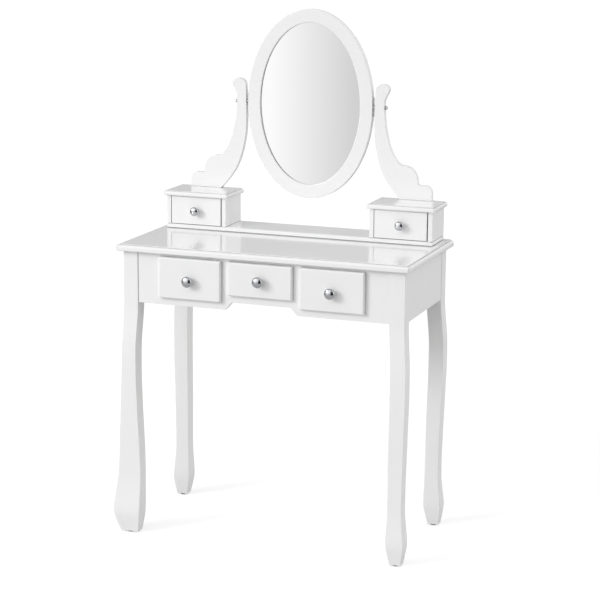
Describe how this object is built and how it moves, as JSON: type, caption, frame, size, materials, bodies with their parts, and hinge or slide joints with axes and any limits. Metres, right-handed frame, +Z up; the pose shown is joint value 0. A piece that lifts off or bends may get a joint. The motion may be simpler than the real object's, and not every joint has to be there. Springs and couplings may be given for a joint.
{
  "type": "dressing table",
  "caption": "White dressing table with drawers, curved legs, small drawer boxes on a low shelf and an oval mirror that tilts between scrolled supports.",
  "frame": {"origin": "bottom centre of the bounding box, on the floor", "axes": "+Z up, the drawer fronts face -Y, +X is the right-hand end seen from the front"},
  "size_m": [0.8167, 0.421, 1.384],
  "materials": {
    "white_lacquer": "white semi-gloss lacquer over fibreboard and solid wood",
    "drawer_board": "thin matt white coat on plain board",
    "chrome_knobs": "polished plate",
    "zinc_plated_steel": "bright zinc plate",
    "silvered_glass": "silvered float glass",
    "hardboard": "bare pressed hardboard",
    "dark_plastic": "moulded plastic"
  },
  "bodies": {
    "table": {"table_top": "white_lacquer", "front_frame": "white_lacquer", "back_apron": "white_lacquer", "left_apron": "white_lacquer", "right_apron": "white_lacquer", "front_left_leg": "white_lacquer", "front_right_leg": "white_lacquer", "back_left_leg": "white_lacquer", "back_right_leg": "white_lacquer", "drawer_runners": "drawer_board", "corner_blocks": "drawer_board", "corner_bolts": "zinc_plated_steel", "foot_glides": "dark_plastic", "shelf_board": "white_lacquer", "left_box_sides": "white_lacquer", "left_box_back": "white_lacquer", "left_box_lid": "white_lacquer", "right_box_sides": "white_lacquer", "right_box_back": "white_lacquer", "right_box_lid": "white_lacquer", "left_mirror_support": "white_lacquer", "right_mirror_support": "white_lacquer", "pivot_bolts": "zinc_plated_steel"},
    "left_drawer": {"left_drawer_front": "white_lacquer", "left_drawer_sides": "drawer_board", "left_drawer_back": "drawer_board", "left_drawer_bottom": "drawer_board", "left_drawer_knob": "chrome_knobs", "left_drawer_screw": "zinc_plated_steel"},
    "centre_drawer": {"centre_drawer_front": "white_lacquer", "centre_drawer_sides": "drawer_board", "centre_drawer_back": "drawer_board", "centre_drawer_bottom": "drawer_board", "centre_drawer_knob": "chrome_knobs", "centre_drawer_screw": "zinc_plated_steel"},
    "right_drawer": {"right_drawer_front": "white_lacquer", "right_drawer_sides": "drawer_board", "right_drawer_back": "drawer_board", "right_drawer_bottom": "drawer_board", "right_drawer_knob": "chrome_knobs", "right_drawer_screw": "zinc_plated_steel"},
    "left_small_drawer": {"left_small_drawer_front": "white_lacquer", "left_small_drawer_sides": "drawer_board", "left_small_drawer_back": "drawer_board", "left_small_drawer_bottom": "drawer_board", "left_small_drawer_knob": "chrome_knobs", "left_small_drawer_screw": "zinc_plated_steel"},
    "right_small_drawer": {"right_small_drawer_front": "white_lacquer", "right_small_drawer_sides": "drawer_board", "right_small_drawer_back": "drawer_board", "right_small_drawer_bottom": "drawer_board", "right_small_drawer_knob": "chrome_knobs", "right_small_drawer_screw": "zinc_plated_steel"},
    "mirror": {"mirror_frame": "white_lacquer", "mirror_glass": "silvered_glass", "mirror_backing": "hardboard", "backing_clips": "zinc_plated_steel", "backing_screws": "zinc_plated_steel", "pivot_plates": "zinc_plated_steel"}
  },
  "joints": [
    {"name": "left_drawer_slide", "type": "slide", "parent": "table", "child": "left_drawer", "axis": [0, -1, 0], "range_m": [0, 0.24]},
    {"name": "centre_drawer_slide", "type": "slide", "parent": "table", "child": "centre_drawer", "axis": [0, -1, 0], "range_m": [0, 0.24]},
    {"name": "right_drawer_slide", "type": "slide", "parent": "table", "child": "right_drawer", "axis": [0, -1, 0], "range_m": [0, 0.24]},
    {"name": "left_small_drawer_slide", "type": "slide", "parent": "table", "child": "left_small_drawer", "axis": [0, -1, 0], "range_m": [0, 0.065]},
    {"name": "right_small_drawer_slide", "type": "slide", "parent": "table", "child": "right_small_drawer", "axis": [0, -1, 0], "range_m": [0, 0.065]},
    {"name": "mirror_tilt", "type": "hinge", "parent": "table", "child": "mirror", "pos_m": [0.00825, 0.1905, 1.131], "axis": [1, 0, 0], "range_deg": [-25, 25]}
  ]
}
